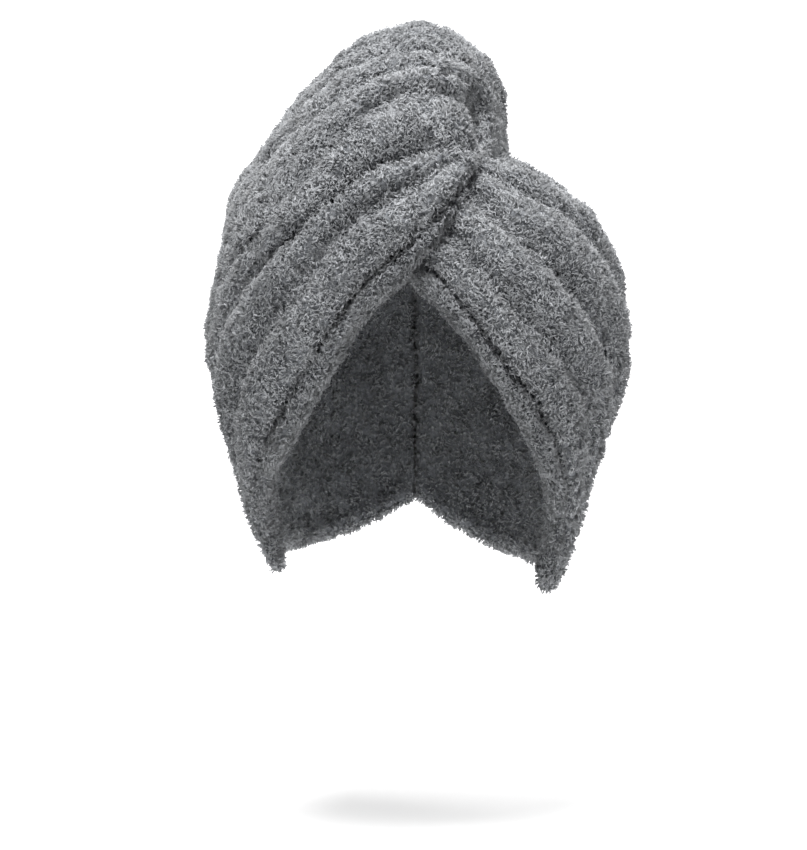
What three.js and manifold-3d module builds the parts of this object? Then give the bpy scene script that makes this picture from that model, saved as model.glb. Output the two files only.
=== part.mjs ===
// Hair turban towel, as worn: a plush towel wrapped round the head, crossed over the forehead,
// with its twisted tail laid over the crown and down the back to a button at the nape.
// Millimetres, +Z up. The face looks along -Y and the towel's left, as seen from in front, is -X.
// The origin is the top of the head inside the towel, where the towel sits.
import * as THREE from "three";
import { mergeVertices } from "three/addons/utils/BufferGeometryUtils.js";
import Module from "manifold-3d";

const wasm = await Module();
wasm.setup();

// The head that goes inside
const HEAD_HALF_WIDTH = 75;
const HEAD_HALF_DEPTH = 95;
const CROWN_ABOVE_CENTRE = 75;
const HEAD_BELOW_CENTRE = 150;
const HEAD_FULLNESS = 2.2;
const HEAD_CLEARANCE = 2;

// The towel's wound thickness without its folds
const SIDE_THICKNESS = 14;
const FRONT_THICKNESS = 10;
const TOP_THICKNESS = 11;
const TOWEL_FULLNESS = 2.4;
const JAW_NARROWING = 0.14;
const JAW_DIRECTION = -0.62;
const BOTTOM_EDGE_THICKNESS = 6;
const BOTTOM_ROUNDING = 0.08;
const EAR_BULGE = 0.25;
const EAR_BULGE_ONSET = 4;

// The bunched cloth over the forehead, where the left side crosses the right
const KNOT_RISE = 17;
const KNOT_SPREAD = 0.52;
const KNOT_CENTRE = new THREE.Vector3(-0.12, -0.98, 0.98);

// Fold profile, where 1 is a semi-ellipse squared off towards its valleys
const FOLD_SQUARENESS = 0.62;

// Hems, tail and button
const HEM_HALF_WIDTH = 4.5;
const HEM_SIDES = 8;
const TAIL_RISE = 77;
const TAIL_WALL = 15;
const TAIL_RIGHT_WALL = 50;
const TAIL_RIGHT_FROM = 0.68;
const TAIL_RIGHT_FULL = 0.78;
const TAIL_LINING_LIMIT = 0.7;
const TAIL_END_THICKNESS = 11;
const TAIL_END_SEAT = 5.5;
const TAIL_END_RELIEF = 5;
const TAIL_END_HEM = 4;
const MOUTH_RADII = new THREE.Vector3(13, 30, 24);
const MOUTH_CENTRE = new THREE.Vector3(33, -66, 33);
const BUTTON_RADIUS = 11;
const BUTTON_THICKNESS = 4.5;
const BUTTON_EDGE = 1.2;
const BUTTON_SINK = 1.5;
const BUTTON_AT = 0.9;

// Gaps between pieces, and how far down through the hollow a piece clears its neighbours
const CLEARANCE = 0.3;
const FOLDED_CLEARANCE = 0.6;
const CUTTER_DEPTH = 0.5;
const WELD = 1e-4;
const SMALL = 1e-9;

// Where the left side and the hems start, as shares of the way from the knot to the bottom edge
const LEFT_START = 0.03;
const RIGHT_START = 0.01;
const LEFT_HEM_START = 0.08;
const RIGHT_HEM_START = 0.03;
const HEM_END = 0.98;
const CUTTER_LEAD = 0.01;

const GREY = 0x787b7f;
const DARK_GREY = 0x66696d;

// Places on the head are shares of its half width, its half depth and its crown height, measured
// from the middle of the head. Only their directions count: thickness is added afterwards.
// The left side's free edge: from the knot, down over the forehead, past the temple to the jaw
const LEFT_EDGE = [
  { across: 0.39, back: -0.74, up: 1.13 },
  { across: 0.23, back: -1.0, up: 0.89 },
  { across: 0.03, back: -1.0, up: 0.58 },
  { across: -0.27, back: -0.97, up: 0.29 },
  { across: -0.52, back: -0.92, up: -0.05 },
  { across: -0.72, back: -0.77, up: -0.37 },
  { across: -0.85, back: -0.53, up: -0.7 },
  { across: -0.87, back: -0.29, up: -1.06 },
  { across: -0.79, back: -0.13, up: -1.3 },
];
// The right side's free edge: it starts beneath the crossing
const RIGHT_EDGE = [
  { across: -0.1, back: -1.0, up: 0.62 },
  { across: 0.12, back: -0.98, up: 0.38 },
  { across: 0.29, back: -0.98, up: 0.17 },
  { across: 0.45, back: -0.95, up: -0.05 },
  { across: 0.61, back: -0.86, up: -0.26 },
  { across: 0.73, back: -0.72, up: -0.49 },
  { across: 0.8, back: -0.58, up: -0.77 },
  { across: 0.79, back: -0.42, up: -1.08 },
  { across: 0.68, back: -0.27, up: -1.3 },
];
// The line over the crown and down the back, where the two sides meet
const MIDLINE = [
  { across: 0.39, back: -0.74, up: 1.13 },
  { across: 0.22, back: -0.45, up: 1.13 },
  { across: 0.08, back: -0.15, up: 1.13 },
  { across: 0, back: 0.15, up: 1.12 },
  { across: 0, back: 0.45, up: 1.02 },
  { across: 0, back: 0.78, up: 0.72 },
  { across: 0, back: 1.05, up: 0.2 },
  { across: 0, back: 1.1, up: -0.4 },
  { across: 0, back: 1.0, up: -1.0 },
];

// Folds lie side by side from the free edge (0) to the midline (1). A row gives where its fold
// starts at the knot, half way and at the bottom, and how high its crest stands there.
const LEFT_FOLDS = [
  { top: 0, mid: 0, low: 0, topRise: 6, midRise: 8, lowRise: 4 },
  { top: 0.34, mid: 0.115, low: 0.12, topRise: 8, midRise: 9, lowRise: 5 },
  { top: 0.54, mid: 0.215, low: 0.24, topRise: 2, midRise: 5, lowRise: 5 },
  { top: 0.7, mid: 0.33, low: 0.37, topRise: 2, midRise: 6, lowRise: 6 },
  { top: 0.8, mid: 0.46, low: 0.5, topRise: 2, midRise: 7, lowRise: 6 },
  { top: 0.88, mid: 0.6, low: 0.63, topRise: 2, midRise: 5, lowRise: 6 },
  { top: 0.93, mid: 0.73, low: 0.75, topRise: 2, midRise: 3, lowRise: 5 },
  { top: 0.97, mid: 0.87, low: 0.88, topRise: 1, midRise: 2, lowRise: 4 },
];
const RIGHT_FOLDS = [
  { top: 0, mid: 0, low: 0, topRise: 6, midRise: 7, lowRise: 5 },
  { top: 0.25, mid: 0.1, low: 0.09, topRise: 8, midRise: 9, lowRise: 5 },
  { top: 0.8, mid: 0.22, low: 0.27, topRise: 6, midRise: 10, lowRise: 5 },
  { top: 0.92, mid: 0.38, low: 0.39, topRise: 3, midRise: 9, lowRise: 6 },
  { top: 0.96, mid: 0.52, low: 0.51, topRise: 2, midRise: 7, lowRise: 6 },
  { top: 0.975, mid: 0.67, low: 0.63, topRise: 2, midRise: 4, lowRise: 5 },
  { top: 0.99, mid: 0.83, low: 0.8, topRise: 1, midRise: 2, lowRise: 4 },
];

// The tail's arched sections from its left end to its right end: the front foot, the top and the
// back foot, as shares of the head's half width, its half depth and the tail's rise.
const TAIL_SECTIONS = [
  { foot: [-1.18, -0.3, -0.64], top: [-1.2, 0.05, -0.5], heel: [-1.14, 0.3, -0.56] },
  { foot: [-1.05, -0.71, -0.6], top: [-1.16, 0.03, -0.12], heel: [-1.02, 0.5, -0.35] },
  { foot: [-0.88, -0.89, -0.48], top: [-0.99, -0.02, 0.14], heel: [-0.85, 0.58, -0.18] },
  { foot: [-0.67, -1.03, -0.32], top: [-0.78, -0.06, 0.38], heel: [-0.66, 0.64, -0.05] },
  { foot: [-0.45, -1.06, -0.14], top: [-0.54, -0.1, 0.62], heel: [-0.45, 0.68, 0.04] },
  { foot: [-0.22, -1.01, 0.03], top: [-0.28, -0.12, 0.79], heel: [-0.22, 0.72, 0.1] },
  { foot: [0, -0.94, 0.1], top: [0, -0.12, 0.86], heel: [0, 0.74, 0.12] },
  { foot: [0.17, -0.9, 0.11], top: [0.22, -0.1, 0.82], heel: [0.18, 0.72, 0.12] },
  { foot: [0.32, -0.8, 0.1], top: [0.41, -0.05, 0.7], heel: [0.36, 0.62, 0.1] },
  { foot: [0.43, -0.5, 0.1], top: [0.55, 0, 0.5], heel: [0.47, 0.45, 0.08] },
  { foot: [0.54, -0.15, 0.08], top: [0.58, 0.05, 0.25], heel: [0.54, 0.22, 0.08] },
];
// Folds of the tail from its front foot (0) over its top to its heel (1)
const TAIL_FOLDS = [
  { top: 0, mid: 0, low: 0, topRise: 3, midRise: 7, lowRise: 6 },
  { top: 0.02, mid: 0.155, low: 0.14, topRise: 4, midRise: 7, lowRise: 6 },
  { top: 0.5, mid: 0.23, low: 0.31, topRise: 3, midRise: 6, lowRise: 3 },
  { top: 0.7, mid: 0.315, low: 0.42, topRise: 3, midRise: 9, lowRise: 8 },
  { top: 0.8, mid: 0.58, low: 0.56, topRise: 2, midRise: 6, lowRise: 5 },
  { top: 0.87, mid: 0.71, low: 0.7, topRise: 2, midRise: 6, lowRise: 5 },
  { top: 0.93, mid: 0.85, low: 0.85, topRise: 2, midRise: 5, lowRise: 4 },
];

// The free end down the back: its middle line and its half width, as shares like the places above
const TAIL_END_ROUTE = [
  { across: -0.12, back: 0.5, up: 1.02, half: 0.42 },
  { across: -0.07, back: 0.83, up: 0.68, half: 0.42 },
  { across: -0.02, back: 1.05, up: 0.2, half: 0.37 },
  { across: 0, back: 1.1, up: -0.25, half: 0.29 },
  { across: 0, back: 1.08, up: -0.6, half: 0.21 },
  { across: 0, back: 1.04, up: -0.86, half: 0.15 },
];
const TAIL_END_FOLDS = [
  { top: 0, mid: 0, low: 0, topRise: 6, midRise: 6, lowRise: 4 },
  { top: 0.24, mid: 0.27, low: 0.3, topRise: 7, midRise: 7, lowRise: 4 },
  { top: 0.5, mid: 0.53, low: 0.52, topRise: 7, midRise: 6, lowRise: 4 },
  { top: 0.77, mid: 0.76, low: 0.75, topRise: 6, midRise: 5, lowRise: 3 },
];

// How finely the cloth is divided
const STEPS_PER_FOLD = 5;
const WRAP_ROWS = 22;
const WRAP_LINING_STEPS = 10;
const TAIL_ROWS = 19;
const TAIL_STEPS_PER_FOLD = 5;
const TAIL_LINING_STEPS = 8;
const TAIL_END_ROWS = 12;
const TAIL_END_STEPS_PER_FOLD = 4;
const TAIL_END_LINING_STEPS = 6;
const HEM_ROWS = 26;
const MOUTH_SIDES = 16;
const MOUTH_RINGS = 10;
const BUTTON_SIDES = 20;

const HEAD_CENTRE = new THREE.Vector3(0, 0, -CROWN_ABOVE_CENTRE);
const HEAD_SHARES = new THREE.Vector3(HEAD_HALF_WIDTH, HEAD_HALF_DEPTH, CROWN_ABOVE_CENTRE);
const KNOT_DIRECTION = KNOT_CENTRE.clone().multiply(HEAD_SHARES).normalize();

// Distance from the head's middle to a rounded form of given half sizes, along a direction
function reach(direction, halfWidth, halfDepth, above, below, fullness) {
  const height = direction.z > 0 ? above : below;
  const sum =
    Math.abs(direction.x / halfWidth) ** fullness +
    Math.abs(direction.y / halfDepth) ** fullness +
    Math.abs(direction.z / height) ** fullness;
  return sum ** (-1 / fullness);
}

function hollowReach(direction) {
  return reach(
    direction,
    HEAD_HALF_WIDTH + HEAD_CLEARANCE,
    HEAD_HALF_DEPTH + HEAD_CLEARANCE,
    CROWN_ABOVE_CENTRE + HEAD_CLEARANCE,
    HEAD_BELOW_CENTRE + HEAD_CLEARANCE,
    HEAD_FULLNESS,
  );
}

// The cloth's sides are drawn in below the cheeks, from the level of the head's middle downwards
function clothReach(direction) {
  const drop = THREE.MathUtils.smoothstep(direction.z / JAW_DIRECTION, 0, 1);
  const sideways = direction.x ** 2 / (direction.x ** 2 + direction.y ** 2 + SMALL);
  const full = reach(
    direction,
    HEAD_HALF_WIDTH + HEAD_CLEARANCE + SIDE_THICKNESS,
    HEAD_HALF_DEPTH + HEAD_CLEARANCE + FRONT_THICKNESS,
    CROWN_ABOVE_CENTRE + HEAD_CLEARANCE + TOP_THICKNESS,
    HEAD_BELOW_CENTRE + HEAD_CLEARANCE + SIDE_THICKNESS,
    TOWEL_FULLNESS,
  );
  return full * (1 - JAW_NARROWING * drop * sideways);
}

function knotLift(direction) {
  const apart = direction.angleTo(KNOT_DIRECTION);
  return KNOT_RISE * Math.exp(-((apart / KNOT_SPREAD) ** 2));
}

function headLine(rows) {
  const points = rows.map((row) =>
    new THREE.Vector3(row.across, row.back, row.up).multiply(HEAD_SHARES),
  );
  return new THREE.CatmullRomCurve3(points, false, "centripetal");
}

// A value that runs through three given ones at 0, a half and 1
function through(top, mid, low, share) {
  return (
    top * (1 - share) * (1 - 2 * share) +
    mid * 4 * share * (1 - share) +
    low * share * (2 * share - 1)
  );
}

// Direction a share of the way round from one direction to another
function between(from, to, share) {
  const angle = from.angleTo(to);
  const start = Math.sin((1 - share) * angle) / Math.sin(angle);
  const end = Math.sin(share * angle) / Math.sin(angle);
  return from.clone().multiplyScalar(start).addScaledVector(to, end).normalize();
}

// The same on a side of the towel, which bulges round the ear towards its bottom edge
function roundEar(from, to, place, share) {
  const direction = between(from, to, place);
  direction.x += Math.sign(from.x) * EAR_BULGE * share ** EAR_BULGE_ONSET * Math.sin(Math.PI * place);
  return direction.normalize();
}

// The stations across one row of folds, each with its place and the height of cloth there
function foldStations(folds, share, stepsPerFold) {
  const starts = folds.map((fold) => through(fold.top, fold.mid, fold.low, share));
  const stations = [];
  folds.forEach((fold, index) => {
    const start = starts[index];
    const end = index + 1 < folds.length ? starts[index + 1] : 1;
    const crest = through(fold.topRise, fold.midRise, fold.lowRise, share);
    for (let step = 0; step < stepsPerFold; step += 1) {
      const part = (1 - Math.cos((Math.PI * step) / stepsPerFold)) / 2;
      const rise = crest * (4 * part * (1 - part)) ** FOLD_SQUARENESS;
      stations.push({ place: start + (end - start) * part, rise });
    }
  });
  stations.push({ place: 1, rise: 0 });
  return stations;
}

// A closed skin over rings of cloth: each ring is its outer stations, then its lining back again
function loft(rings, outerCount) {
  const size = rings[0].length;
  const positions = rings.flat().flatMap((point) => point.toArray());
  const faces = [];
  for (let row = 0; row + 1 < rings.length; row += 1) {
    for (let side = 0; side < size; side += 1) {
      const next = (side + 1) % size;
      const a = row * size + side;
      const b = row * size + next;
      faces.push(a, b, b + size, a, b + size, a + size);
    }
  }
  const lastRow = (rings.length - 1) * size;
  endFaces(size, outerCount).forEach(([a, b, c]) => {
    faces.push(a, c, b);
    faces.push(lastRow + a, lastRow + b, lastRow + c);
  });
  const geometry = new THREE.BufferGeometry();
  geometry.setAttribute("position", new THREE.Float32BufferAttribute(positions, 3));
  geometry.setIndex(faces);
  return geometry;
}

// Faces of a flat end, laced between the outer stations and the lining
function endFaces(size, outerCount) {
  const liningCount = size - outerCount;
  const faces = [];
  let outer = 0;
  let lining = 0;
  while (outer < outerCount - 1 || lining < liningCount - 1) {
    const outerShare = (outer + 1) / (outerCount - 1);
    const liningShare = (lining + 1) / (liningCount - 1);
    const outerVertex = outer;
    const liningVertex = size - 1 - lining;
    if (lining >= liningCount - 1 || (outer < outerCount - 1 && outerShare <= liningShare)) {
      faces.push([outerVertex, outerVertex + 1, liningVertex]);
      outer += 1;
    } else {
      faces.push([outerVertex, liningVertex - 1, liningVertex]);
      lining += 1;
    }
  }
  return faces;
}

// A direction moved over the sphere towards another by a small arc, or away from it
function nudged(direction, target, arc) {
  const across = target.clone().addScaledVector(direction, -target.dot(direction)).normalize();
  return direction.clone().addScaledVector(across, arc).normalize();
}

// A solid from a closed surface, with its faces turned to point out
function toSolid(geometry) {
  const plain = geometry.clone();
  plain.deleteAttribute("normal");
  plain.deleteAttribute("uv");
  const merged = mergeVertices(plain, WELD);
  const vertProperties = merged.attributes.position.array;
  const faces = Array.from(merged.index.array);
  const solid = new wasm.Manifold(
    new wasm.Mesh({ numProp: 3, vertProperties, triVerts: new Uint32Array(faces) }),
  );
  if (solid.volume() > 0) return solid;
  faces.reverse();
  return new wasm.Manifold(
    new wasm.Mesh({ numProp: 3, vertProperties, triVerts: new Uint32Array(faces) }),
  );
}

// The one main body of a cut solid, without crumbs that a cut leaves
function mainBody(solid) {
  const bodies = solid.decompose();
  return bodies.reduce((best, body) => (body.volume() > best.volume() ? body : best));
}

function toGeometry(solid) {
  const mesh = solid.getMesh();
  const geometry = new THREE.BufferGeometry();
  const positions = [];
  for (let vertex = 0; vertex < mesh.numVert; vertex += 1) {
    const at = vertex * mesh.numProp;
    positions.push(...mesh.vertProperties.slice(at, at + 3));
  }
  geometry.setAttribute("position", new THREE.Float32BufferAttribute(positions, 3));
  geometry.setIndex(Array.from(mesh.triVerts));
  geometry.computeVertexNormals();
  return geometry;
}

// How much of the cloth's full thickness is left as it rounds over at the bottom edge
function bottomRounding(share) {
  const into = THREE.MathUtils.clamp((share - 1 + BOTTOM_ROUNDING) / BOTTOM_ROUNDING, 0, 1);
  return Math.sqrt(1 - into * into);
}

// Shares of the way along a piece at which its rings lie, with one more before it where it cuts
function ringShares(start, end, rows, grow) {
  const shares = [];
  if (grow > 0) shares.push(start - CUTTER_LEAD);
  for (let row = 0; row <= rows; row += 1) shares.push(start + ((end - start) * row) / rows);
  return shares;
}

// One side of the towel. Where it cuts a neighbour it is grown by a clearance on every side, and
// then it also fills most of the head's hollow, so that nothing of the neighbour is left inside.
function wrapSolid(edgeRows, folds, start, isOver, grow) {
  const edge = headLine(edgeRows);
  const midline = headLine(MIDLINE);
  const liningDepth = grow > 0 ? CUTTER_DEPTH : 1;
  let outerCount = 0;
  const rings = ringShares(start, 1, WRAP_ROWS, grow).map((share) => {
    const from = edge.getPoint(share).normalize();
    const seam = midline.getPoint(share).normalize();
    const to = nudged(seam, from, CLEARANCE / 2 / clothReach(seam));
    const extra = grow / clothReach(from) / from.angleTo(to);
    const full = bottomRounding(share);
    const stations = foldStations(folds, share, STEPS_PER_FOLD);
    if (grow > 0) stations.unshift({ place: -extra, rise: 0 });
    if (grow > 0) stations.push({ place: 1 + extra, rise: 0 });
    outerCount = stations.length;
    const ring = stations.map(({ place, rise }) => {
      const direction = roundEar(from, to, place, share);
      const lining = hollowReach(direction);
      const lift = isOver ? knotLift(direction) : 0;
      const thick = clothReach(direction) - lining + rise + lift;
      const kept = BOTTOM_EDGE_THICKNESS + (thick - BOTTOM_EDGE_THICKNESS) * full;
      return direction.multiplyScalar(lining + kept + grow);
    });
    for (let step = WRAP_LINING_STEPS; step >= 0; step -= 1) {
      const place = (step / WRAP_LINING_STEPS) * (1 + 2 * extra) - extra;
      const direction = roundEar(from, to, place, share);
      ring.push(direction.multiplyScalar(hollowReach(direction) * liningDepth));
    }
    return ring.map((point) => point.add(HEAD_CENTRE));
  });
  return toSolid(loft(rings, outerCount));
}

// The rolled hem that runs along a side's free edge, as thick as the cloth there
function hemSolid(edgeRows, start, isOver, grow) {
  const edge = headLine(edgeRows);
  const midline = headLine(MIDLINE);
  const rings = ringShares(start, HEM_END, HEM_ROWS, grow).map((share) => {
    const atEdge = edge.getPoint(share).normalize();
    const atMidline = midline.getPoint(share).normalize();
    const middleReach = (hollowReach(atEdge) + clothReach(atEdge)) / 2;
    const aside = (HEM_HALF_WIDTH + CLEARANCE) / middleReach;
    const middle = nudged(atEdge, atMidline, -aside);
    const lining = hollowReach(middle);
    const lift = isOver ? knotLift(middle) : 0;
    const full = bottomRounding(share / HEM_END);
    const thick = (clothReach(middle) + lift - lining) * full;
    const kept = Math.max(thick, BOTTOM_EDGE_THICKNESS);
    const sideways = nudged(middle, atMidline, 1).sub(middle).normalize();
    const ring = [];
    for (let side = 0; side < HEM_SIDES; side += 1) {
      const angle = (2 * Math.PI * side) / HEM_SIDES;
      const outward = lining + kept / 2 + (kept / 2 + grow) * Math.sin(angle);
      const point = middle.clone().multiplyScalar(outward);
      ring.push(point.addScaledVector(sideways, (HEM_HALF_WIDTH + grow) * Math.cos(angle)));
    }
    return ring.map((point) => point.add(HEAD_CENTRE));
  });
  return toSolid(loft(rings, HEM_SIDES / 2 + 1));
}

// A line through one named column of the tail's sections
function tailLine(column) {
  const shares = new THREE.Vector3(HEAD_HALF_WIDTH, HEAD_HALF_DEPTH, TAIL_RISE);
  const points = TAIL_SECTIONS.map((row) => new THREE.Vector3(...row[column]).multiply(shares));
  return new THREE.CatmullRomCurve3(points, false, "centripetal");
}

// A point on the arch from a section's front foot (0) over its top to its heel (1)
function archPoint(foot, top, heel, place) {
  const angle = Math.PI * place;
  const base = place < 0.5 ? foot : heel;
  const out = Math.abs(Math.cos(angle));
  return new THREE.Vector3(
    top.x + (base.x - top.x) * out,
    top.y + (base.y - top.y) * out,
    base.z + (top.z - base.z) * Math.sin(angle),
  );
}

// The twisted tail over the crown: a folded arch of cloth, open underneath, and rolled up thick
// at its right end
function tailSolid(grow) {
  const feet = tailLine("foot");
  const tops = tailLine("top");
  const heels = tailLine("heel");
  const rings = [];
  for (let row = 0; row <= TAIL_ROWS; row += 1) {
    const share = row / TAIL_ROWS;
    const foot = feet.getPoint(share);
    const top = tops.getPoint(share);
    const heel = heels.getPoint(share);
    foot.z -= 2 * grow;
    heel.z -= 2 * grow;
    const filled = THREE.MathUtils.smoothstep(share, TAIL_RIGHT_FROM, TAIL_RIGHT_FULL);
    const wall = THREE.MathUtils.lerp(TAIL_WALL, TAIL_RIGHT_WALL, filled) + grow;
    const middle = new THREE.Vector3(
      top.x,
      (foot.y + heel.y) / 2,
      Math.min(foot.z, heel.z) - TAIL_WALL / 2,
    );
    const ring = foldStations(TAIL_FOLDS, share, TAIL_STEPS_PER_FOLD).map(({ place, rise }) => {
      const point = archPoint(foot, top, heel, place);
      const outward = point.clone().sub(middle).normalize();
      return point.addScaledVector(outward, rise + grow);
    });
    for (let step = TAIL_LINING_STEPS; step >= 0; step -= 1) {
      const point = archPoint(foot, top, heel, step / TAIL_LINING_STEPS);
      const inward = middle.clone().sub(point);
      const most = TAIL_LINING_LIMIT * inward.length();
      ring.push(point.addScaledVector(inward.normalize(), Math.min(wall, most)));
    }
    rings.push(ring);
  }
  return toSolid(loft(rings, foldStations(TAIL_FOLDS, 0, TAIL_STEPS_PER_FOLD).length));
}

// The hollow that shows at the tail's right, between its front folds and its rim
function mouthSolid() {
  const mouth = new THREE.SphereGeometry(1, MOUTH_SIDES, MOUTH_RINGS);
  mouth.scale(...MOUTH_RADII.toArray());
  mouth.translate(...MOUTH_CENTRE.toArray());
  return toSolid(mouth);
}

function columnValue(rows, column, share) {
  const place = share * (rows.length - 1);
  const row = Math.min(Math.floor(place), rows.length - 2);
  return THREE.MathUtils.lerp(rows[row][column], rows[row + 1][column], place - row);
}

// Distance from the head's middle to the top of the free end's crest
function tailEndReach(direction) {
  return clothReach(direction) + TAIL_END_SEAT + TAIL_END_THICKNESS;
}

// The tail's free end, which lies down the back
function tailEndSolid() {
  const route = headLine(TAIL_END_ROUTE);
  const rings = [];
  for (let row = 0; row <= TAIL_END_ROWS; row += 1) {
    const share = row / TAIL_END_ROWS;
    const middle = route.getPoint(share).normalize();
    const half = columnValue(TAIL_END_ROUTE, "half", share) * HEAD_HALF_WIDTH;
    const across = new THREE.Vector3(half / clothReach(middle), 0, 0);
    const from = middle.clone().sub(across).normalize();
    const to = middle.clone().add(across).normalize();
    const full = bottomRounding(share);
    const stations = foldStations(TAIL_END_FOLDS, share, TAIL_END_STEPS_PER_FOLD);
    const ring = stations.map(({ place, rise }) => {
      const direction = between(from, to, place);
      const thick = TAIL_END_THICKNESS - TAIL_END_RELIEF + rise;
      const kept = TAIL_END_HEM + (thick - TAIL_END_HEM) * full;
      return direction.multiplyScalar(clothReach(direction) + TAIL_END_SEAT + kept);
    });
    for (let step = TAIL_END_LINING_STEPS; step >= 0; step -= 1) {
      const direction = between(from, to, step / TAIL_END_LINING_STEPS);
      ring.push(direction.multiplyScalar(clothReach(direction) + TAIL_END_SEAT));
    }
    rings.push(ring.map((point) => point.add(HEAD_CENTRE)));
  }
  return toSolid(loft(rings, foldStations(TAIL_END_FOLDS, 0, TAIL_END_STEPS_PER_FOLD).length));
}

// The button, a disc with a rounded rim, pressed a little into the free end
function buttonSolid(grow) {
  const radius = BUTTON_RADIUS + grow;
  const half = BUTTON_THICKNESS / 2 + grow;
  const profile = [
    new THREE.Vector2(0, -half),
    new THREE.Vector2(radius - BUTTON_EDGE, -half),
    new THREE.Vector2(radius, -half + BUTTON_EDGE),
    new THREE.Vector2(radius, half - BUTTON_EDGE),
    new THREE.Vector2(radius - BUTTON_EDGE, half),
    new THREE.Vector2(0, half),
  ];
  const outward = headLine(TAIL_END_ROUTE).getPoint(BUTTON_AT).normalize();
  const middle = outward.clone().multiplyScalar(tailEndReach(outward) - BUTTON_SINK);
  const button = new THREE.LatheGeometry(profile, BUTTON_SIDES);
  const turn = new THREE.Quaternion().setFromUnitVectors(new THREE.Vector3(0, 1, 0), outward);
  button.applyQuaternion(turn);
  button.translate(...middle.add(HEAD_CENTRE).toArray());
  return toSolid(button);
}

const leftCutter = wrapSolid(LEFT_EDGE, LEFT_FOLDS, LEFT_START, true, FOLDED_CLEARANCE);
const rightCutter = wrapSolid(RIGHT_EDGE, RIGHT_FOLDS, RIGHT_START, false, FOLDED_CLEARANCE);
const leftHemCutter = hemSolid(LEFT_EDGE, LEFT_HEM_START, true, CLEARANCE);
const rightHemCutter = hemSolid(RIGHT_EDGE, RIGHT_HEM_START, false, CLEARANCE);

const leftWrap = wrapSolid(LEFT_EDGE, LEFT_FOLDS, LEFT_START, true, 0);
const leftHem = mainBody(hemSolid(LEFT_EDGE, LEFT_HEM_START, true, 0).subtract(leftCutter));
const rightWrap = mainBody(
  wrapSolid(RIGHT_EDGE, RIGHT_FOLDS, RIGHT_START, false, 0)
    .subtract(leftCutter)
    .subtract(leftHemCutter),
);
const rightHem = mainBody(
  hemSolid(RIGHT_EDGE, RIGHT_HEM_START, false, 0)
    .subtract(rightCutter)
    .subtract(leftCutter)
    .subtract(leftHemCutter),
);
const twistedTail = mainBody(
  tailSolid(0)
    .subtract(mouthSolid())
    .subtract(leftCutter)
    .subtract(rightCutter)
    .subtract(leftHemCutter)
    .subtract(rightHemCutter),
);
const tailEnd = mainBody(
  tailEndSolid().subtract(tailSolid(FOLDED_CLEARANCE)).subtract(buttonSolid(CLEARANCE)),
);

const plush = new THREE.MeshStandardMaterial({ color: GREY, roughness: 0.95, metalness: 0 });
const hemPlush = new THREE.MeshStandardMaterial({ color: DARK_GREY, roughness: 0.95, metalness: 0 });
const plastic = new THREE.MeshStandardMaterial({ color: DARK_GREY, roughness: 0.5, metalness: 0 });

function piece(name, solid, material) {
  const mesh = new THREE.Mesh(toGeometry(solid), material);
  mesh.name = name;
  return mesh;
}

const towel = new THREE.Group();
towel.add(piece("left_wrap", leftWrap, plush));
towel.add(piece("right_wrap", rightWrap, plush));
towel.add(piece("left_hem", leftHem, hemPlush));
towel.add(piece("right_hem", rightHem, hemPlush));
towel.add(piece("twisted_tail", twistedTail, plush));
towel.add(piece("tail_end", tailEnd, plush));
towel.add(piece("nape_button", buttonSolid(0), plastic));

export default towel;
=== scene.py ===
"""Hair turban towel in its worn form, in deep plush pile. Metres, in the row's frame."""

import math

import bpy
import numpy as np
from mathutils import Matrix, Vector
from mathutils.bvhtree import BVHTree


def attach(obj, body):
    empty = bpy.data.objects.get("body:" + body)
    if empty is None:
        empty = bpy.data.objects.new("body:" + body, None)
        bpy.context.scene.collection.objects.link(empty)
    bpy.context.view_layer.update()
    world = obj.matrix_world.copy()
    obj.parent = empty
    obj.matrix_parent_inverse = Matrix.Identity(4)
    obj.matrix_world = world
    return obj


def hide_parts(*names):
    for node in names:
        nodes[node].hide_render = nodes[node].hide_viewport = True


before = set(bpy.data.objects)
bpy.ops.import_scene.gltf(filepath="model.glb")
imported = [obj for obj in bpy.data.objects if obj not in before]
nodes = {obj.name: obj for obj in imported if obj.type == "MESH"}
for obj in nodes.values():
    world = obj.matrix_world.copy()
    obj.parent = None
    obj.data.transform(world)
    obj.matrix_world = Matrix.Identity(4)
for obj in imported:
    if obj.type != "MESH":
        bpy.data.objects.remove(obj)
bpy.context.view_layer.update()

MM = 0.001
HEAD_CENTRE = np.array([0.0, 0.0, -75 * MM])
FLOOR_HEIGHT = -300 * MM

# Each soft piece: the solid it stands for, its material, how finely its cloth is divided and how
# far the cloth lies inside the solid, both in millimetres, then how many strands stand on it, how
# long they are in millimetres, and in how many meshes they are kept, where it is more than one
CLOTH = [
    dict(node="left_wrap", slot="plush", voxel=2.6, inset=1.5, blades=84000, length=3.8, parts=2),
    dict(node="right_wrap", slot="plush", voxel=2.6, inset=1.5, blades=80000, length=3.8, parts=2),
    dict(node="twisted_tail", slot="plush", voxel=2.3, inset=1.5, blades=62000, length=3.8),
    dict(node="tail_end", slot="plush", voxel=2.1, inset=1.3, blades=20000, length=3.6),
    # The hems take the darker hem materials: painted shade along the rolled face edge.
    dict(node="left_hem", slot="hem", voxel=1.6, inset=0.2, blades=12000, length=3.0),
    dict(node="right_hem", slot="hem", voxel=1.6, inset=0.2, blades=10000, length=3.0),
]

# The cloth's skin: rounding, deeper valleys and higher ridges, and lumps
SMOOTHING_FACTOR = 0.5
SMOOTHING_ROUNDS = 2
RELIEF_ROUNDS = 40
RELIEF_GAIN, RELIEF_DOWN, RELIEF_UP = 1.2, -4.5 * MM, 1.5 * MM
LUMP_SIZE, LUMP_HEIGHT = 11 * MM, 0.8 * MM
TUFT_SIZE, TUFT_HEIGHT = 5.5 * MM, 0.7 * MM

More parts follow.
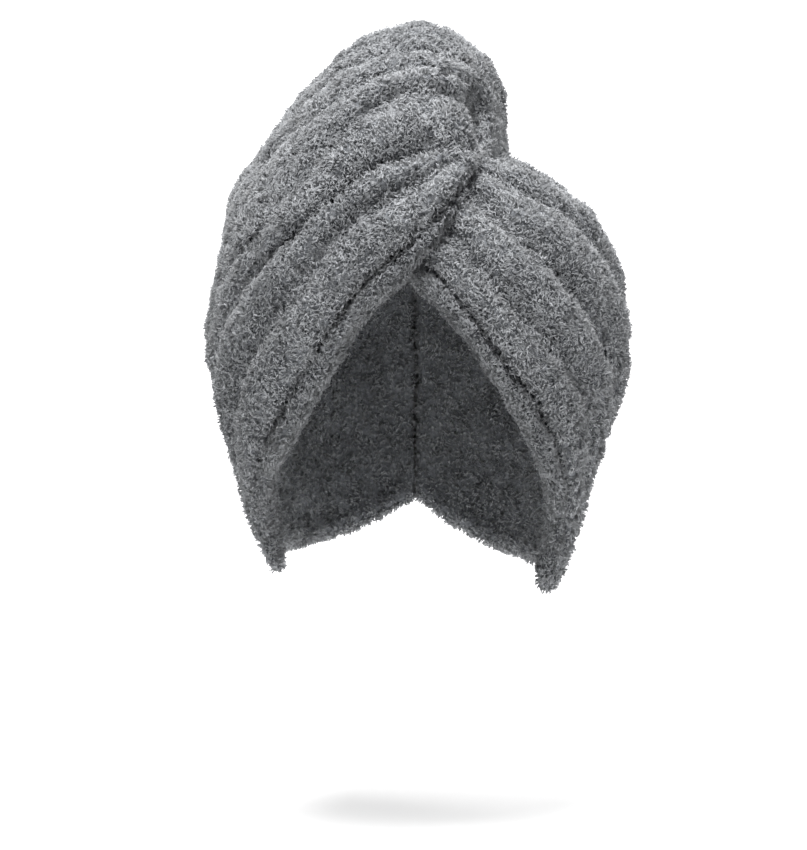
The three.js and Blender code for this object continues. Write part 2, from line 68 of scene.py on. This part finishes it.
# Where the pile is thinner: on the lining, and where another piece lies this close over it. At the
# front it is denser.
LINING_SHARE, LINING_FACING = 0.4, -0.3
COVERED_SHARE, COVERED_REACH = 0.04, 1.3 * MM
FRONT_BIAS = 0.7

# How a strand leans away from the skin: with its tuft, with a broader wave and by itself
TUFT_LEAN, WAVE_LEAN, OWN_LEAN, LEAST_RISE = 1.1, 0.35, 0.3, 0.3
WAVE_SIZE = 17 * MM
# How its upper half bends, and how it droops
TUFT_CURL, DROOP, CURL_ALONG_LEAN = 1.2, -0.25, 0.35
# Its length, from patch to patch and from strand to strand, and the parts of it below and above
# the bend
PATCH_LENGTH, SHORTEST, LENGTH_SPREAD = 0.35, 0.55, 0.6
BELOW_BEND, ABOVE_BEND = 0.6, 0.5
# Its half width in shares of BLADE_WIDTH, its narrowing at the bend, its turn, its root's depth
BLADE_WIDTH = 0.72 * MM
HALF_WIDTH, HALF_WIDTH_SPREAD, BEND_WIDTH = 0.4, 0.3, 0.9
TURN_SPREAD = 0.45
ROOT_DEPTH = 0.4 * MM
# The way it faces the light
TUFT_FACING, CURL_FACING, OWN_FACING = 0.5, 0.25, 0.15
# Its five points as shares of its height, and its three triangles
STRAND_RISE = np.array([0, 0, 0.7, 0.7, 1.0], np.float32)
STRAND_FACES = np.array([[0, 1, 3], [0, 3, 2], [2, 3, 4]])
# Its colour factor at the root and at the tip, painted shade at the root and painted light at the
# tip, and the share of light that shines through it
ROOT_PAINTED_SHADE, TIP_PAINTED_LIGHT = 0.6, 1.05
LIGHT_THROUGH = 0.45

# The button's profile as shares of its radius and of its half height, from its back to its front
BUTTON_PROFILE = [
    (0, -1), (0.8, -1), (0.93, -0.86), (1, -0.35), (1, 0.35), (0.965, 0.72), (0.91, 0.93),
    (0.84, 1), (0.77, 0.95), (0.72, 0.82), (0.5, 0.86), (0.25, 0.9), (0, 0.92),
]
BUTTON_SIDES = 72

# Soft lights: name, place, target, size and power in watts
LIGHTS = [
    ("key", (-0.2, -1.15, 1.65), (0, 0, -0.05), 0.8, 62),
    ("top", (0.15, 0.25, 1.7), (0, 0, -0.05), 1.0, 12),
    ("fill", (1.5, -1.5, 0.2), (0, 0, -0.08), 1.2, 3),
    ("backdrop", (0, 0.7, 1.4), (0, 2.2, 0.2), 1.8, 50),
]
SKY_STRENGTH = 0.29

# The camera: in front of the towel, 1.2 m away
CAMERA_PLACE = (0, -1.2, -0.08)
CAMERA_TARGET = (-0.0054, 0, -0.110)
CAMERA_LENS, CAMERA_SENSOR = 108.6, 36

# Odd factors that mix a lattice cell's three numbers into one
HASH_STEPS = np.array([73856093, 19349663, 83492791])


# Smooth noise from -1 to 1 on a lattice of cells of the given size
def lattice_noise(points, size, seed):
    cell = points / size
    base = np.floor(cell).astype(np.int64)
    part = cell - base
    part = part * part * (3 - 2 * part)
    total = np.zeros(len(points))
    for corner in range(8):
        offset = np.array([(corner >> axis) & 1 for axis in range(3)])
        key = (base + offset) @ HASH_STEPS + seed * 7919
        key = (key ^ (key >> 13)) * 1274126177 & 0x7FFFFFFF
        key = (key ^ (key >> 15)) * 668265263 & 0x7FFFFFFF
        value = ((key >> 8) & 0xFFFF) / 32767.5 - 1
        total += value * np.prod(np.where(offset, part, 1 - part), axis=1)
    return total


def noise_vectors(points, size, seed):
    return np.stack([lattice_noise(points, size, seed + axis) for axis in range(3)], axis=1)


def unit(vectors):
    return vectors / np.maximum(np.linalg.norm(vectors, axis=-1, keepdims=True), 1e-12)


def read(collection, field, width, kind=float):
    values = np.zeros(len(collection) * width, kind)
    collection.foreach_get(field, values)
    return values.reshape(-1, width)


def mesh_from(name, points, faces):
    mesh = bpy.data.meshes.new(name)
    mesh.from_pydata([], [], [])
    mesh.vertices.add(len(points))
    mesh.vertices.foreach_set("co", np.asarray(points, np.float32).ravel())
    mesh.loops.add(faces.size)
    mesh.loops.foreach_set("vertex_index", faces.ravel().astype(np.int32))
    mesh.polygons.add(len(faces))
    starts = np.arange(0, faces.size, faces.shape[1], dtype=np.int32)
    mesh.polygons.foreach_set("loop_start", starts)
    mesh.update(calc_edges=True)
    return mesh


def add_piece(name, mesh, material, smooth):
    piece = bpy.data.objects.new(name, mesh)
    bpy.context.scene.collection.objects.link(piece)
    mesh.materials.clear()
    mesh.materials.append(material)
    mesh.polygons.foreach_set("use_smooth", np.full(len(mesh.polygons), smooth))
    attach(piece, "root")
    return piece


# Materials
def set_node(node, **values):
    for name, value in values.items():
        node.inputs[name.replace("_", " ")].default_value = value


# Plush: broad uneven tone, a change from strand to strand, and a soft bright edge. The pile's
# colour is darkened at its roots as painted shade and lifted at its tips as painted light; it is
# lit as its "lie" faces, and lets light through.
def plush_material(name, dark, light, is_pile):
    material = bpy.data.materials.new(name)
    material.use_nodes = True
    tree = material.node_tree
    shader = tree.nodes["Principled BSDF"]
    set_node(shader, Roughness=0.92, Specular_IOR_Level=0.12)
    set_node(shader, Sheen_Weight=0.35, Sheen_Roughness=0.45)
    place = tree.nodes.new("ShaderNodeTexCoord")
    broad = tree.nodes.new("ShaderNodeTexNoise")
    set_node(broad, Scale=38.0, Detail=3.0, Roughness=0.55)
    fine = tree.nodes.new("ShaderNodeTexNoise")
    set_node(fine, Scale=620.0, Detail=2.0, Roughness=0.6)
    both = tree.nodes.new("ShaderNodeMath")
    both.operation = "MULTIPLY_ADD"
    both.inputs[1].default_value = 0.45
    ramp = tree.nodes.new("ShaderNodeValToRGB")
    ramp.color_ramp.elements[0].position = 0.52
    ramp.color_ramp.elements[0].color = (*dark, 1)
    ramp.color_ramp.elements[1].position = 0.92
    ramp.color_ramp.elements[1].color = (*light, 1)
    link = tree.links.new
    link(place.outputs["Object"], broad.inputs["Vector"])
    link(place.outputs["Object"], fine.inputs["Vector"])
    link(broad.outputs["Fac"], both.inputs[0])
    link(fine.outputs["Fac"], both.inputs[2])
    link(both.outputs["Value"], ramp.inputs["Fac"])
    if is_pile:
        rise = tree.nodes.new("ShaderNodeAttribute")
        rise.attribute_name = "rise"
        # Painted shade at each strand's root and painted light at its tip: the colour is scaled
        # along the strand's rise
        root_tip_painted_shade = tree.nodes.new("ShaderNodeMapRange")
        set_node(root_tip_painted_shade, To_Min=ROOT_PAINTED_SHADE, To_Max=TIP_PAINTED_LIGHT)
        lie = tree.nodes.new("ShaderNodeAttribute")
        lie.attribute_name = "lie"
        link(lie.outputs["Vector"], shader.inputs["Normal"])
        shaded = tree.nodes.new("ShaderNodeVectorMath")
        shaded.operation = "SCALE"
        link(rise.outputs["Fac"], root_tip_painted_shade.inputs["Value"])
        link(ramp.outputs["Color"], shaded.inputs[0])
        link(root_tip_painted_shade.outputs["Result"], shaded.inputs["Scale"])
        link(shaded.outputs["Vector"], shader.inputs["Base Color"])
        through = tree.nodes.new("ShaderNodeBsdfTranslucent")
        mixed = tree.nodes.new("ShaderNodeMixShader")
        mixed.inputs["Fac"].default_value = LIGHT_THROUGH
        link(shaded.outputs["Vector"], through.inputs["Color"])
        link(shader.outputs["BSDF"], mixed.inputs[1])
        link(through.outputs["BSDF"], mixed.inputs[2])
        link(mixed.outputs["Shader"], tree.nodes["Material Output"].inputs["Surface"])
    else:
        link(ramp.outputs["Color"], shader.inputs["Base Color"])
        lift = tree.nodes.new("ShaderNodeBump")
        set_node(lift, Strength=0.8, Distance=0.0008)
        link(fine.outputs["Fac"], lift.inputs["Height"])
        link(lift.outputs["Normal"], shader.inputs["Normal"])
    return material


# The button's plastic: grey, fine-grained, a little glossy
def plastic_material():
    material = bpy.data.materials.new("button_plastic")
    material.use_nodes = True
    tree = material.node_tree
    shader = tree.nodes["Principled BSDF"]
    place = tree.nodes.new("ShaderNodeTexCoord")
    grain = tree.nodes.new("ShaderNodeTexNoise")
    set_node(grain, Scale=900.0, Detail=3.0)
    ramp = tree.nodes.new("ShaderNodeValToRGB")
    ramp.color_ramp.elements[0].color = (0.10, 0.106, 0.115, 1)
    ramp.color_ramp.elements[1].color = (0.15, 0.158, 0.17, 1)
    rough = tree.nodes.new("ShaderNodeMapRange")
    set_node(rough, To_Min=0.38, To_Max=0.55)
    lift = tree.nodes.new("ShaderNodeBump")
    set_node(lift, Strength=0.15, Distance=0.0002)
    link = tree.links.new
    link(place.outputs["Object"], grain.inputs["Vector"])
    link(grain.outputs["Fac"], ramp.inputs["Fac"])
    link(grain.outputs["Fac"], rough.inputs["Value"])
    link(grain.outputs["Fac"], lift.inputs["Height"])
    link(ramp.outputs["Color"], shader.inputs["Base Color"])
    link(rough.outputs["Result"], shader.inputs["Roughness"])
    link(lift.outputs["Normal"], shader.inputs["Normal"])
    return material


# The cloth under the pile is coloured far darker than the pile's own grey: painted shade deep in
# the pile.
CLOTH_MATERIALS = {
    "plush": plush_material("plush_cloth_painted_shade", (0.10, 0.105, 0.113), (0.22, 0.23, 0.245), False),
    # The hem cloth is darker again than the plush cloth: painted shade along the rolled face edge.
    "hem": plush_material("hem_cloth_painted_shade", (0.07, 0.074, 0.08), (0.15, 0.157, 0.168), False),
}
PILE_MATERIALS = {
    "plush": plush_material("plush_pile", (0.45, 0.462, 0.48), (0.74, 0.755, 0.775), True),
    # The hem pile is a darker copy of the plush pile: painted shade along the rolled face edge.
    "hem": plush_material("hem_pile_painted_shade", (0.37, 0.38, 0.396), (0.6, 0.614, 0.634), True),
}


# Cloth: the solid's skin, divided evenly and rounded, with its valleys deepened and its ridges
# raised, lumpy, and set inside the solid so that the pile ends near the solid's surface
def cloth_mesh(row, seed):
    source = nodes[row["node"]]
    work = bpy.data.objects.new("work", source.data.copy())
    bpy.context.scene.collection.objects.link(work)
    remesh = work.modifiers.new("even", "REMESH")
    remesh.mode = "VOXEL"
    remesh.voxel_size = row["voxel"] * MM
    rounding = work.modifiers.new("round", "SMOOTH")
    rounding.factor = SMOOTHING_FACTOR
    rounding.iterations = SMOOTHING_ROUNDS
    graph = bpy.context.evaluated_depsgraph_get()
    mesh = bpy.data.meshes.new_from_object(work.evaluated_get(graph))
    rounding.iterations = RELIEF_ROUNDS
    graph = bpy.context.evaluated_depsgraph_get()
    level = bpy.data.meshes.new_from_object(work.evaluated_get(graph))
    bpy.data.objects.remove(work)
    points = read(mesh.vertices, "co", 3)
    normals = read(mesh.vertex_normals, "vector", 3)
    relief = np.einsum("ij,ij->i", points - read(level.vertices, "co", 3), normals)
    bpy.data.meshes.remove(level)
    deeper = np.clip(RELIEF_GAIN * relief, RELIEF_DOWN, RELIEF_UP)
    lumps = LUMP_HEIGHT * lattice_noise(points, LUMP_SIZE, seed)
    tufts = TUFT_HEIGHT * lattice_noise(points, TUFT_SIZE, seed + 50)
    points = points + normals * (deeper + lumps + tufts - row["inset"] * MM)[:, None]
    mesh.vertices.foreach_set("co", points.astype(np.float32).ravel())
    mesh.update()
    mesh.name = row["node"] + "_cloth"
    return mesh


# Every other solid's faces, to find where the cloth is covered
def neighbours_of(name):
    points, faces, start = [], [], 0
    for other, node in nodes.items():
        if other == name:
            continue
        node.data.calc_loop_triangles()
        points.extend(vertex.co.copy() for vertex in node.data.vertices)
        faces.extend([start + i for i in t.vertices] for t in node.data.loop_triangles)
        start += len(node.data.vertices)
    return BVHTree.FromPolygons(points, faces)


# How much pile stands on each face: its area, more at the front, less on the lining, and almost
# none where another piece covers it
def pile_weights(points, faces, name):
    corners = points[faces]
    cross = np.cross(corners[:, 1] - corners[:, 0], corners[:, 2] - corners[:, 0])
    area = np.linalg.norm(cross, axis=1) / 2
    normal = unit(cross)
    middle = corners.mean(axis=1)
    tree = neighbours_of(name)
    weight = area * (1 + FRONT_BIAS * np.clip(-normal[:, 1], 0, 1))
    inner = np.einsum("ij,ij->i", normal, unit(middle - HEAD_CENTRE)) < LINING_FACING
    weight[inner] *= LINING_SHARE
    for face in range(len(faces)):
        start = Vector(middle[face])
        hit = tree.ray_cast(start, Vector(normal[face]), COVERED_REACH)
        if hit[0] is not None:
            weight[face] *= COVERED_SHARE
    return weight


# Pile: bent, tapered strands that lean together in tufts
def pile_mesh(name, mesh, weight, count, length, seed):
    points = read(mesh.vertices, "co", 3)
    normals = read(mesh.vertex_normals, "vector", 3)
    faces = read(mesh.loop_triangles, "vertices", 3, np.int32)
    random = np.random.default_rng(seed)
    chosen = random.choice(len(faces), count, p=weight / weight.sum())
    share = random.random((count, 2))
    share = np.where(share.sum(axis=1, keepdims=True) > 1, 1 - share, share)
    shares = np.column_stack([1 - share.sum(axis=1), share])[:, :, None]
    root = (points[faces[chosen]] * shares).sum(axis=1)
    out = unit((normals[faces[chosen]] * shares).sum(axis=1))
    tuft = noise_vectors(root, TUFT_SIZE, seed + 100)
    wave = noise_vectors(root, WAVE_SIZE, seed + 200)
    own = random.normal(size=(count, 3))
    lean = unit(out + TUFT_LEAN * tuft + WAVE_LEAN * wave + OWN_LEAN * own)
    outward = np.einsum("ij,ij->i", lean, out)[:, None]
    lean = unit(lean + out * np.maximum(0, LEAST_RISE - outward))
    curl = random.normal(size=(count, 3)) + TUFT_CURL * tuft + np.array([0, 0, DROOP])
    along = unit(curl - out * np.einsum("ij,ij->i", curl, out)[:, None])
    curl = unit(CURL_ALONG_LEAN * lean + along)
    patch = 1 + PATCH_LENGTH * lattice_noise(root, TUFT_SIZE, seed + 300)[:, None]
    reach = length * patch * (SHORTEST + LENGTH_SPREAD * random.random((count, 1)))
    bend = root + lean * reach * BELOW_BEND
    tip = bend + curl * reach * ABOVE_BEND
    aside = unit(np.cross(lean, out + TURN_SPREAD * random.normal(size=(count, 3))))
    spread = HALF_WIDTH + HALF_WIDTH_SPREAD * random.random((count, 1))
    wide = aside * BLADE_WIDTH * spread
    narrow = wide * BEND_WIDTH
    foot = root - out * ROOT_DEPTH
    strand = np.stack([foot - wide, foot + wide, bend - narrow, bend + narrow, tip], axis=1)
    first = (np.arange(count) * len(STRAND_RISE))[:, None, None]
    made = mesh_from(name, strand.reshape(-1, 3), (first + STRAND_FACES[None]).reshape(-1, 3))
    rise = made.attributes.new("rise", "FLOAT", "POINT")
    rise.data.foreach_set("value", np.tile(STRAND_RISE, count))
    lie = made.attributes.new("lie", "FLOAT_VECTOR", "POINT")
    own = random.normal(size=(count, 3))
    facing = unit(out + TUFT_FACING * tuft + CURL_FACING * curl + OWN_FACING * own)
    facing = np.repeat(facing, len(STRAND_RISE), axis=0).astype(np.float32)
    lie.data.foreach_set("vector", facing.ravel())
    return made


for number, row in enumerate(CLOTH):
    name = row["node"]
    mesh = cloth_mesh(row, 10 * number + 1)
    cloth = add_piece(name + "_cloth", mesh, CLOTH_MATERIALS[row["slot"]], True)
    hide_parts(name)
    mesh.calc_loop_triangles()
    points = read(mesh.vertices, "co", 3)
    faces = read(mesh.loop_triangles, "vertices", 3, np.int32)
    weight = pile_weights(points, faces, name)
    parts = row.get("parts", 1)
    for part in range(parts):
        pile_name = f"{name}_pile_{part + 1}"
        seed = 1000 + 10 * number + part
        count = row["blades"] // parts
        strands = pile_mesh(pile_name, mesh, weight, count, row["length"] * MM, seed)
        add_piece(pile_name, strands, PILE_MATERIALS[row["slot"]], False)


# Button: a round disc with a domed face and a rolled rim, where the solid button is
def button_mesh():
    points = read(nodes["nape_button"].data.vertices, "co", 3)
    centre = points.mean(axis=0)
    spread = np.linalg.svd(points - centre, full_matrices=False)[2]
    axis, across, along = spread[2], spread[0], spread[1]
    if axis[1] < 0:
        axis = -axis
    heights = (points - centre) @ axis
    high = heights.max()
    radius = np.linalg.norm(points - centre - np.outer(heights, axis), axis=1).max()
    sides = BUTTON_SIDES
    turn = np.linspace(0, 2 * math.pi, sides, endpoint=False)
    rings = [
        centre
        + radius * r * (np.cos(turn)[:, None] * across + np.sin(turn)[:, None] * along)
        + axis * high * h
        for r, h in BUTTON_PROFILE[1:-1]
    ]
    ends = [centre + axis * high * BUTTON_PROFILE[end][1] for end in (0, -1)]
    vertices = np.vstack(rings + ends)
    faces = []
    for ring in range(len(rings) - 1):
        for side in range(sides):
            a, b = ring * sides + side, ring * sides + (side + 1) % sides
            faces += [[a, b, b + sides], [a, b + sides, a + sides]]
    bottom, top = len(rings) * sides, len(rings) * sides + 1
    last = (len(rings) - 1) * sides
    for side in range(sides):
        following = (side + 1) % sides
        faces += [[bottom, following, side], [top, last + side, last + following]]
    return mesh_from("nape_button_disc", vertices, np.array(faces))


button = add_piece("nape_button_disc", button_mesh(), plastic_material(), True)
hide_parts("nape_button")


# Floor and light
def floor_material():
    material = bpy.data.materials.new("pale_floor")
    material.use_nodes = True
    shader = material.node_tree.nodes["Principled BSDF"]
    set_node(shader, Base_Color=(0.8, 0.8, 0.8, 1), Roughness=0.9)
    return material


# A floor that curves up into a wall behind the towel
def floor_sweep():
    half_width, front, back, height, bend, steps = 6.0, -4.0, 2.2, 5.0, 1.2, 12
    line = [(front, 0), (back - bend, 0)]
    for step in range(1, steps + 1):
        angle = math.pi / 2 * step / steps
        line.append((back - bend + bend * math.sin(angle), bend - bend * math.cos(angle)))
    line.append((back, height))
    points = [(side * half_width, y, FLOOR_HEIGHT + z) for y, z in line for side in (-1, 1)]
    faces = [[2 * i, 2 * i + 1, 2 * i + 3, 2 * i + 2] for i in range(len(line) - 1)]
    floor = bpy.data.objects.new("floor", mesh_from("floor", np.array(points), np.array(faces)))
    bpy.context.scene.collection.objects.link(floor)
    floor.data.polygons.foreach_set("use_smooth", np.full(len(faces), True))
    floor.data.materials.append(floor_material())


def soft_light(name, place, target, size, power):
    lamp = bpy.data.lights.new(name, "AREA")
    lamp.shape = "DISK"
    lamp.size = size
    lamp.energy = power
    light = bpy.data.objects.new(name, lamp)
    bpy.context.scene.collection.objects.link(light)
    light.location = place
    light.rotation_mode = "QUATERNION"
    light.rotation_quaternion = (Vector(target) - Vector(place)).to_track_quat("-Z", "Y")


floor_sweep()
for light_row in LIGHTS:
    soft_light(*light_row)

world = bpy.data.worlds.new("studio")
world.use_nodes = True
set_node(world.node_tree.nodes["Background"], Color=(1, 1, 1, 1), Strength=SKY_STRENGTH)
bpy.context.scene.world = world
bpy.context.scene.view_settings.view_transform = "Standard"

camera_data = bpy.data.cameras.new("camera")
camera_data.lens = CAMERA_LENS
camera_data.sensor_width = CAMERA_SENSOR
camera = bpy.data.objects.new("camera", camera_data)
bpy.context.scene.collection.objects.link(camera)
camera.location = CAMERA_PLACE
camera.rotation_mode = "QUATERNION"
view = Vector(CAMERA_TARGET) - camera.location
camera.rotation_quaternion = view.to_track_quat("-Z", "Y")
bpy.context.scene.camera = camera
